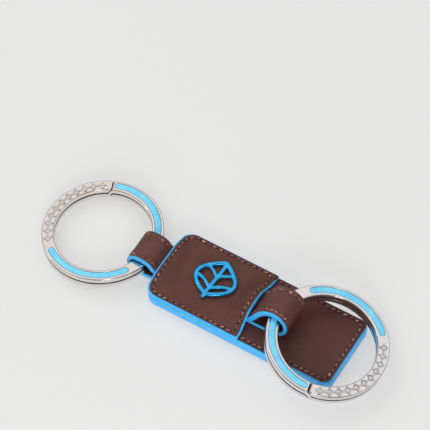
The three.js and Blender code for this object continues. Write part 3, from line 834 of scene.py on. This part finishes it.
def emblem():
    cx, cy, z = X0 + 15.6, 0.65, Z_PANEL + 0.62
    L, W = 11.6, 11.9
    right = []
    for i in range(40):
        t = i / 39
        w = W / 2 * math.sin(math.pi * t) ** 0.8 * (1 - 0.25 * t) * 1.13
        right.append((cx + w, cy - L / 2 + 0.9 + L * t))
    left = [(2 * cx - x, y) for x, y in reversed(right[1:-1])]
    outline = spline(right[::2] + [right[-1]] + left[::2], 150, True)
    r = 0.70
    parts = [tube(np.c_[outline, np.full(len(outline), z)], r, 18, True, ry=0.62)]
    mid = np.array([(cx, y) for y in np.linspace(cy - L / 2 - 0.9, cy + L / 2 + 0.5, 60)])
    mid[:, 0] += 0.25 * np.sin((mid[:, 1] - cy) * 0.35)
    step = np.linalg.norm(mid[1] - mid[0])
    parts.append(tube(np.c_[mid, np.full(len(mid), z)], r * 0.98, 18, False, dome_taper(60, r, step), ry=0.54))
    for s in (1, -1):
        for y0, y1, xe in ((cy - 2.8, cy - 0.1, 5.2), (cy + 1.1, cy + 3.7, 3.9)):
            q = spline([(cx, y0, z), (cx + s * xe * 0.45, y0 + (y1 - y0) * 0.62, z), (cx + s * xe, y1, z)], 24)
            parts.append(tube(q, r * 0.84, 16, False, ry=0.54))
    V, F = [], []
    for v, f in parts:
        off = len(V)
        V += v
        F += [tuple(i + off for i in g) for g in f]
    o = make("emblem_leaf", V, F, M_LACQUER, None, None)
    # the wires are welded into one piece, and the weld is smoothed
    rm = o.modifiers.new("weld", "REMESH")
    rm.mode = "VOXEL"
    rm.voxel_size = 0.00013
    rm.use_smooth_shade = True
    sm = o.modifiers.new("smooth", "SMOOTH")
    sm.factor, sm.iterations = 0.5, 10
    dg = bpy.context.evaluated_depsgraph_get()
    me = bpy.data.meshes.new_from_object(o.evaluated_get(dg))
    o.modifiers.clear()
    o.data = me
    me.polygons.foreach_set("use_smooth", [True] * len(me.polygons))
    if not me.materials:
        me.materials.append(M_LACQUER)
    # painted shade: the lacquer is darker low down on the wire, towards the leather
    co = np.empty(len(me.vertices) * 3)
    me.vertices.foreach_get("co", co)
    zn = (co.reshape(-1, 3)[:, 2] * 1000 - z) / 0.6
    att = me.attributes.new("shade", "FLOAT", "POINT")
    att.data.foreach_set("value", np.clip(1.0 * (0.60 - zn), 0, 0.96))
    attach(o, "fob")
    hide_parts("emblem")


emblem()


# ------------------------------------------------------------------ straps
def strap(side):
    """one band of leather from inside the fob, over the ring, back into the fob; rows are (along, height, thickness)"""
    if side == "left":
        ctrl = [(1.2, 4.95, 1.4), (0.4, 5.05, 1.5), (-0.5, 5.75, 1.6), (-1.4, 6.95, 1.7), (-2.4, 7.72, 1.72), (-3.7, 8.12, 1.75), (-5.2, 8.22, 1.8), (-6.6, 8.02, 1.75),
                (-7.9, 7.5, 1.5), (-8.9, 6.5, 1.3), (-9.45, 5.0, 1.25), (-9.5, 3.3, 1.3), (-9.0, 1.75, 1.35), (-7.8, 0.65, 1.4), (-6.2, 0.18, 1.45), (-4.3, 0.12, 1.5),
                (-2.8, 0.22, 1.5), (-1.5, 0.62, 1.45), (-0.4, 0.98, 1.4), (0.4, 1.06, 1.35), (1.2, 1.08, 1.3)]
        blend = ("fob", "left_strap", ((X0 + 0.6) * MM, 0, 0.0032), ((X0 - 2.9) * MM, 0, 0.0032))
        seam = (0.10, 0.47)
        sgn = 1
    else:
        ctrl = [(28.9, 5.85, 1.3), (29.7, 6.0, 1.4), (30.5, 6.75, 1.55), (31.25, 8.15, 1.65), (32.2, 10.0, 1.7), (33.4, 11.75, 1.75), (34.9, 13.15, 1.8), (36.5, 14.05, 1.75),
                (38.2, 14.3, 1.8), (39.9, 13.95, 1.6), (41.5, 12.85, 1.4), (42.5, 11.1, 1.25), (42.8, 9.1, 1.25), (42.3, 7.05, 1.25), (41.0, 5.35, 1.25), (39.2, 4.4, 1.2),
                (37.0, 3.95, 1.15), (34.0, 3.86, 1.1), (31.0, 3.84, 1.1), (29.4, 3.82, 1.1)]
        blend = ("fob", "right_strap", ((X0 + 30.0) * MM, 0, 0.0055), ((X0 + 33.4) * MM, 0, 0.0055))
        seam = (0.08, 0.52)
        sgn = -1
    n = 120
    c = spline(ctrl, n)
    d = np.gradient(c[:, :2], axis=0)
    d /= np.linalg.norm(d, axis=1)[:, None]
    nrm = np.c_[d[:, 1], -d[:, 0]] * sgn                    # out of the loop
    s = np.r_[0, np.cumsum(np.linalg.norm(np.diff(c[:, :2], axis=0), axis=1))]
    # the loop leans a little: the far edge sits lower and the near edge nearer the fob
    def place(u, b, depth):
        """point at path position u (float index), across b in mm, depth below the outer surface"""
        i = min(int(u), n - 2)
        f = u - i
        p = c[i, :2] * (1 - f) + c[i + 1, :2] * f
        q = nrm[i] * (1 - f) + nrm[i + 1] * f
        q = q / np.linalg.norm(q)
        w = (b - STRAP_Y[0]) / (STRAP_Y[1] - STRAP_Y[0])
        high = smooth01((p[1] - (4.5 if side == "left" else 7.0)) / 5.0)
        dz = (0.05 - 0.35 * w) * high if side == "right" else (0.0 - 0.15 * w) * high
        da = (-0.35 * (1 - w) * smooth01((p[0] - 40) / 2.0)) if side == "right" else 0.0
        x = X0 + p[0] + da - q[0] * depth
        z = p[1] + dz - q[1] * depth
        return np.array([x, b, z])

    y0, y1 = STRAP_Y
    bs = np.r_[np.array([0.30, 0.36, 0.48, 0.7, 0.95, 1.2]) + y0, np.linspace(y0 + 1.5, y1 - 1.5, 30), y1 - np.array([1.2, 0.95, 0.7, 0.46, 0.28, 0.12])]
    # stitch positions along the path, near both edges
    pitch = 1.62
    L = s[-1]
    s_st = np.arange(L * seam[0], L * seam[1], pitch)
    u_of = lambda q: float(np.interp(q, s, np.arange(n)))
    lines = (y0 + 1.35, y1 - 1.35)
    V, S, R = [], [], []
    m = len(bs)
    for i in range(n):
        th = c[i, 2]
        hole_u = np.exp(-((s_st - s[i]) / 0.22) ** 2).max() if s_st[0] - 1 < s[i] < s_st[-1] + 1 else 0
        in_seam = 1.0 if s_st[0] - 0.2 < s[i] < s_st[-1] + 0.2 else 0.0
        outer, inner = [], []
        for b in bs:
            e = min(b - y0, y1 - b + 0.18)
            roll = 0.22 * max(0, 1 - (e - 0.3) / 0.7) ** 2
            g = max(math.exp(-((b - l) / 0.34) ** 2) for l in lines)
            hdip = max(math.exp(-((b - l) / 0.2) ** 2) for l in lines) * hole_u
            wav = 0.03 * float(noise2(np.array(s[i] * 0.9), np.array(b), 51 if side == "left" else 52, 0.8))
            outer.append(place(i, b, roll + 0.09 * g * in_seam + 0.13 * hdip - wav))
            inner.append(place(i, b, th - roll * 0.6))
            # painted shade in the stitch holes, along the seam lines and in the crease at the painted edges
            S.append(min(1, 0.85 * hdip**1.3 + 0.2 * g * in_seam + 0.7 * math.exp(-((e - 0.3) / 0.2) ** 2)))
            # painted sheen: the band is lighter where it folds over the loop
            painted_fold_sheen = max(0.0, math.exp(-((s[i] - L * 0.37) / 2.0) ** 2))
            R.append(max(0.0, 0.45 * math.exp(-((e - 0.8) / 0.35) ** 2) * 0.7 + 0.18 * painted_fold_sheen - 0.3 * g * in_seam))
        V += outer + inner[::-1]
        # painted shade over the whole inner face of the band
        S += [0.35] * m
        R += [0.0] * m
    o = make(f"{side}_strap_leather", V, loft_faces(n, 2 * m, False), M_STRAP, None, [f"{side}_strap_root", f"{side}_strap_loop"], shade=S, rub_and_sheen=R)
    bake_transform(o)
    # painted side edges: a bulging bead along the whole band
    for tag, yb, dirn in (("near", y0, 1), ("far", y1, -1)):
        loops = []
        sec = [(0.55, 0.08), (0.30, 0.03), (0.13, 0.10), (0.03, 0.26), (0.0, 0.45), (0.0, 0.58), (0.03, 0.76), (0.13, 0.92), (0.30, 1.0), (0.55, 0.96)]
        if tag == "far":
            sec = [(0.5, 0.34), (0.26, 0.30), (0.10, 0.34), (0.02, 0.42), (0.0, 0.52), (0.0, 0.64), (0.03, 0.78), (0.13, 0.92), (0.30, 1.0), (0.55, 0.96)]
        for inset, share in sec:
            loops.append([place(i, yb + dirn * inset, c[i, 2] * share + (0.0 if 0.05 < share < 0.95 else 0.0)) for i in range(n)])
        # painted shade on the bead's rows that tuck against the leather
        paint_band(f"{side}_strap_{tag}_bead", loops, False, M_PAINT, None, f"{side}_strap_{tag}_paint", [0.7, 0.2, 0, 0, 0, 0, 0, 0, 0.2, 0.7], blend)
    # stitches
    for tag, line in (("near", lines[0]), ("far", lines[1])):
        items = []
        for k in range(len(s_st) - 1):
            ua, ub = u_of(s_st[k] + 0.14), u_of(s_st[k + 1] - 0.14)
            jb = 0.04 * math.sin(k * 3.1 + (1 if tag == "near" else 2))
            p, q = place(ua, line + jb, 0.03), place(ub, line - jb, 0.03)
            um = (ua + ub) / 2
            i = int(um)
            up = np.array([nrm[i][0], 0, nrm[i][1]])
            items.append((p, q, up, 0.1))
        stitch_mesh(f"{side}_strap_{tag}_stitches", items, None, f"{side}_strap_{tag}_seam", blend)


strap("left")
strap("right")


# ------------------------------------------------------------------ split rings
RI, RO, RT, GAP = 14.0, 17.5, 3.7, 0.16
WIRE = (RT - GAP) / 2
STEP = WIRE + GAP
TOP_END, LOW_END, J0, J1 = 112.6, 835.4, 470.0, 478.0
GROOVES = ((372.0, 469.3), (232.5, 329.7))
RC, GW = 15.76, 0.93               # middle of the enamel and half its width
RINGS = {"left": dict(top=(X0 - 20.6, -0.6, 4.9), sx=0.066, sy=0.0, turn=0.0, mat=M_NICKEL, groove_shade=0.18, tip=0.0),
         "right": dict(top=(X0 + 53.5, -1.85, 8.8), sx=-0.191, sy=-0.03, turn=-190.7, mat=M_NICKEL_R, groove_shade=0.30, tip=0.95)}


def jog(t):
    return smooth01((t - J0) / (J1 - J0))


def stadium(r, t, a, b, half):
    """signed distance, mm, from the rounded-end strip between angles a and b; negative inside"""
    ra = math.radians(1)
    x = (t - a) * ra * RC
    L = (b - a) * ra * RC
    xc = np.clip(x, half, L - half)
    return np.hypot(x - xc, r - RC) - half


def pattern(r, t):
    """engraved band between the enamel inlays: lozenges with a dot between each"""
    a, b, k = 118.0, 224.0, 11
    cell = (b - a) / k
    u = (t - a) / cell
    i = np.floor(u)
    f = (u - i - 0.5) * cell * math.pi / 180 * RC          # mm from the cell's middle
    q = r - RC
    inside = (t > a) & (t < b)
    loz = np.abs(f) / 0.92 + np.abs(q) / 0.90
    line = np.exp(-((loz - 1.0) * 0.68 / 0.20) ** 2)
    core = np.exp(-((f**2 + q**2) / 0.2**2))
    g = f - np.sign(f) * (cell * math.pi / 180 * RC / 2)
    dot = np.exp(-((g**2 + q**2) / 0.27**2))
    return np.where(inside, np.maximum(np.maximum(line, dot), core), 0.0)


def ring(side):
    R = RINGS[side]
    nz = np.array([-R["sx"], -R["sy"], 1.0])
    nz /= np.linalg.norm(nz)
    e1 = np.array([1.0, 0, 0])
    e1 -= nz * (e1 @ nz)
    e1 /= np.linalg.norm(e1)
    e2 = np.cross(nz, e1)
    C = np.array(R["top"])

    def at(r, deg, h):
        a = np.radians(np.asarray(deg) + R["turn"])
        r, h = np.asarray(r), np.asarray(h)
        return C + (r * np.cos(a))[..., None] * e1 + (r * np.sin(a))[..., None] * e2 + (h - RT)[..., None] * nz

    ts = set()
    for a, b, st in ((TOP_END, 120, 0.4), (117, 225, 0.42), (225, 372, 1.2), (372, 470, 1.2), (J0, J1, 0.5), (J1, LOW_END - 8, 3.0), (LOW_END - 8, LOW_END, 0.5)):
        ts |= {round(float(x), 3) for x in np.linspace(a, b, int((b - a) / st) + 1)}
    for a, b in GROOVES:
        ts |= {round(float(x), 3) for x in np.r_[np.linspace(a - 0.3, a + 4, 22), np.linspace(b - 4, b + 0.3, 22)]}
    ts = sorted(ts)
    ts = [t for i, t in enumerate(ts) if i == 0 or t - ts[i - 1] > 0.08]
    # section: rounded flat wire, fine across its top face
    f = 0.42
    ang = np.radians(np.linspace(0, 90, 6))
    top_r = np.r_[14.42, 14.55, 14.66, 14.74, 14.79, 14.83, 14.87, 14.92, 15.0, 15.12, 15.26, 15.4, 15.54, 15.68, 15.84, 15.98, 16.12, 16.26, 16.4, 16.52, 16.6, 16.65, 16.69, 16.73, 16.78, 16.86, 16.97, 17.08]
    V, S = [], []
    m = None
    for t in ts:
        hb = STEP * (1 - float(jog(t)))
        ht = hb + WIRE
        if t < 120:
            hb = max(hb, STEP * (1 - float(jog(t + 360))) + WIRE + GAP)
        if t > LOW_END - 8:
            ht = min(ht, STEP * (1 - float(jog(t - 360))) - GAP)
        k = min(f, (ht - hb) * 0.45)
        # a rounded tip where the wire ends
        dist = min(t - TOP_END, LOW_END - t) * math.pi / 180 * RC
        pinch = 1.0
        if dist < 0.8:
            pinch = math.sqrt(max(0.05, 1 - (1 - dist / 0.8) ** 2))
        rm, hw = (RI + RO) / 2, (RO - RI) / 2 * (0.62 + 0.38 * pinch)
        ri, ro = rm - hw, rm + hw
        pts = []
        for a in ang:                                       # outer top corner, going down
            pts.append((ro - k + k * math.sin(a), ht - k + k * math.cos(a)))
        for a in ang[1:]:
            pts.append((ro - k + k * math.cos(a), hb + k - k * math.sin(a)))
        for a in ang:
            pts.append((ri + k - k * math.sin(a), hb + k - k * math.cos(a)))
        for a in ang[1:]:
            pts.append((ri + k - k * math.cos(a), ht - k + k * math.sin(a)))
        P = np.array(pts)
        rr = rm + (top_r - rm) * (hw / ((RO - RI) / 2))
        crown = 0.0
        h = np.full(len(rr), ht)
        sh = np.zeros(len(rr))
        if t < J0 + 0.5 and t > TOP_END:
            for a, b in GROOVES:
                if a - 1 < t < b + 1:
                    sd = stadium(rr, t, a, b, GW)
                    h = h - 0.20 * smooth01(-sd / 0.10 + 0.5)
                    # painted shade along the rim of the enamel groove
                    sh = np.maximum(sh, 0.5 * np.exp(-(sd / 0.07) ** 2))
            if 114 < t < 226:
                pt = pattern(rr, t)
                h = h - 0.20 * pt
                # painted shade in the engraved lines and dots
                sh = np.maximum(sh, R["groove_shade"] * pt**1.3)
        loop = np.vstack([P, np.c_[rr, h]])
        m = len(loop)
        V.append(at(loop[:, 0], np.full(m, t), loop[:, 1]))
        # painted shade on the corners that face the gap between the coil's turns
        gap_shade = np.zeros(len(P))
        if t < J0 + 2:
            gap_shade[8:14] = 0.9
            gap_shade[7] = gap_shade[14] = 0.6
        elif t > J1 - 2:
            gap_shade[0:4] = 0.9
            gap_shade[18:22] = 0.9
        # painted shade at the wire's tip, where the seam opens beside the enamel
        if t < 120:
            tip = R["tip"] * max(0.0, 1 - dist / 0.55)
            gap_shade, sh = np.maximum(gap_shade, tip), np.maximum(sh, tip)
        S.append(np.r_[gap_shade, sh])
    V = np.vstack(V)
    make(f"{side}_split_ring", V, loft_faces(len(ts), m, False), R["mat"], f"{side}_ring", f"{side}_ring_coil", shade=np.concatenate(S))
    # enamel inlays, gently domed, with round ends
    for tag, (a, b) in zip("ab", GROOVES):
        w = GW - 0.035
        Lmm = (b - a) * math.pi / 180 * RC
        xs_ = np.r_[w * (1 - np.cos(np.linspace(0.12, math.pi / 2, 12))) + 0.035, np.linspace(w + 0.2, Lmm - w - 0.2, 90), Lmm - 0.035 - w * (1 - np.cos(np.linspace(math.pi / 2, 0.12, 12)))]
        V, S, nv = [], [], 13
        for x in xs_:
            e = min(x - 0.035, Lmm - 0.035 - x)
            hw = w if e >= w else math.sqrt(max(1e-4, w * w - (w - e) ** 2))
            t = a + x / RC * 180 / math.pi
            q = np.sin(np.linspace(-math.pi / 2, math.pi / 2, nv)) * hw
            edge = np.minimum(hw - np.abs(q), e if e < w else 9)
            h = RT - 0.075 + 0.06 * np.sqrt(np.clip(edge / 0.35, 0, 1)) + 0.006 * noise2(q, np.full(nv, x), 61, 1.0)
            top = at(RC + q, np.full(nv, t), h)
            bot = at(RC + q, np.full(nv, t), np.full(nv, RT - 0.22))
            V += [*top, *bot[::-1]]
            # painted shade along the enamel's edges and on its hidden underside
            sh = 0.7 * np.exp(-(np.minimum(hw - np.abs(q), 9) / 0.08) ** 2)
            S += [*sh, *([0.5] * nv)]
        make(f"{side}_enamel_{tag}", V, loft_faces(len(xs_), 2 * nv, False), M_ENAMEL, f"{side}_ring", f"{side}_ring_enamel_{tag}", shade=S)


ring("left")
ring("right")


# ------------------------------------------------------------------ carried-over CAD nodes
def restyle(node, mat):
    o = frame["nodes"][node]
    o.data.materials.clear()
    o.data.materials.append(mat)


restyle("core_board", M_BOARD)
restyle("filler_board", M_BOARD)
restyle("left_strap_tail", M_STRAP)
restyle("right_strap_tail", M_STRAP)


# ------------------------------------------------------------------ floor, light, camera
FLOOR_D, FLOOR_E = 0.34, 0.462


def floor():
    me = bpy.data.meshes.new("floor")
    s = 4.0
    me.from_pydata([(-s, -s, -0.00003), (s, -s, -0.00003), (s, s, -0.00003), (-s, s, -0.00003)], [], [(0, 1, 2, 3)])
    o = bpy.data.objects.new("floor", me)
    bpy.context.scene.collection.objects.link(o)
    m = Mat("floor_paper")
    m.set(Base_Color=(FLOOR_D, FLOOR_D, FLOOR_D, 1), Roughness=0.95, Specular_IOR_Level=0.0, Emission_Color=(1, 1, 1, 1), Emission_Strength=FLOOR_E)
    me.materials.append(m.m)


floor()


def area(name, loc, target, size, power, color=(1, 1, 1)):
    d = bpy.data.lights.new(name, "AREA")
    d.shape = "DISK"
    d.size = size
    d.energy = power
    d.color = color
    o = bpy.data.objects.new(name, d)
    bpy.context.scene.collection.objects.link(o)
    from mathutils import Vector
    o.location = loc
    o.rotation_mode = "QUATERNION"
    o.rotation_quaternion = (Vector(target) - Vector(loc)).to_track_quat("-Z", "Y")
    return o


key = area("key_softbox", (-0.75, 0.15, 0.62), (0, 0, 0), 0.95, 3.4)
key.visible_glossy = False
area("edge_strip", (-0.78, -0.30, 0.30), (0, 0, 0), 0.16, 0.30)
front = area("front_fill", (0.35, -0.75, 0.35), (0, 0, 0), 0.6, 4.6)
front.visible_glossy = False
glint = area("front_glint", (0.42, -0.70, 0.44), (0, 0, 0), 0.26, 0.85)


def world():
    w = bpy.data.worlds.new("studio")
    bpy.context.scene.world = w
    w.use_nodes = True
    t = w.node_tree
    t.nodes.clear()
    out = t.nodes.new("ShaderNodeOutputWorld")
    bg = t.nodes.new("ShaderNodeBackground")
    flat = t.nodes.new("ShaderNodeBackground")
    mix = t.nodes.new("ShaderNodeMixShader")
    lp = t.nodes.new("ShaderNodeLightPath")
    co = t.nodes.new("ShaderNodeTexCoord")
    sep = t.nodes.new("ShaderNodeSeparateXYZ")
    ramp = t.nodes.new("ShaderNodeValToRGB")
    cr = ramp.color_ramp
    stops = [(0.0, 0.25), (0.04, 0.03), (0.34, 0.03), (0.48, 0.80), (0.58, 0.94), (0.70, 0.80), (0.78, 0.96), (0.86, 0.94), (1.0, 0.92)]
    while len(cr.elements) < len(stops):
        cr.elements.new(0.5)
    for e, (p, v) in zip(cr.elements, stops):
        e.position = p
        e.color = (v, v * 0.985, v * 0.965, 1)
    t.links.new(co.outputs["Generated"], sep.inputs[0])
    t.links.new(sep.outputs["Z"], ramp.inputs[0])
    # the side the viewer stands on is dark, as in a real studio, and edges the metal
    dot = t.nodes.new("ShaderNodeVectorMath")
    dot.operation = "DOT_PRODUCT"
    dot.inputs[1].default_value = (0.446, -0.742, 0.5)
    t.links.new(co.outputs["Generated"], dot.inputs[0])
    dark = t.nodes.new("ShaderNodeValToRGB")
    dark.color_ramp.interpolation = "EASE"
    dark.color_ramp.elements[0].position, dark.color_ramp.elements[0].color = 0.52, (1, 1, 1, 1)
    dark.color_ramp.elements[1].position, dark.color_ramp.elements[1].color = 0.84, (0.34, 0.33, 0.33, 1)
    t.links.new(dot.outputs["Value"], dark.inputs[0])
    mul = t.nodes.new("ShaderNodeMix")
    mul.data_type, mul.blend_type = "RGBA", "MULTIPLY"
    mul.inputs[0].default_value = 1.0
    t.links.new(ramp.outputs[0], mul.inputs[6])
    t.links.new(dark.outputs[0], mul.inputs[7])
    t.links.new(mul.outputs[2], bg.inputs[0])
    bg.inputs[1].default_value = 0.95
    flat.inputs[0].default_value = (0.80, 0.80, 0.80, 1)
    flat.inputs[1].default_value = 1.0
    t.links.new(lp.outputs["Is Camera Ray"], mix.inputs[0])
    t.links.new(bg.outputs[0], mix.inputs[1])
    t.links.new(flat.outputs[0], mix.inputs[2])
    t.links.new(mix.outputs[0], out.inputs[0])


world()
bpy.context.scene.view_settings.view_transform = "Standard"


def camera():
    from mathutils import Matrix, Vector
    cam = bpy.data.cameras.new("camera")
    cam.sensor_width = 36
    cam.lens = 231.6
    cam.clip_start, cam.clip_end = 0.05, 20
    o = bpy.data.objects.new("camera", cam)
    bpy.context.scene.collection.objects.link(o)
    back = Vector((0.28934, -0.48141, 0.82736)).normalized()
    right = Vector((0.8571, 0.5151, 0)).normalized()
    up = back.cross(right)
    roll = math.radians(ROLL)
    r2 = right * math.cos(roll) + up * math.sin(roll)
    u2 = up * math.cos(roll) - right * math.sin(roll)
    m = Matrix((r2, u2, back)).transposed().to_4x4()
    m.translation = Vector((0.20194, -0.35857, 0.65556))
    o.matrix_world = m
    bpy.context.scene.camera = o


ROLL = 0.0
camera()
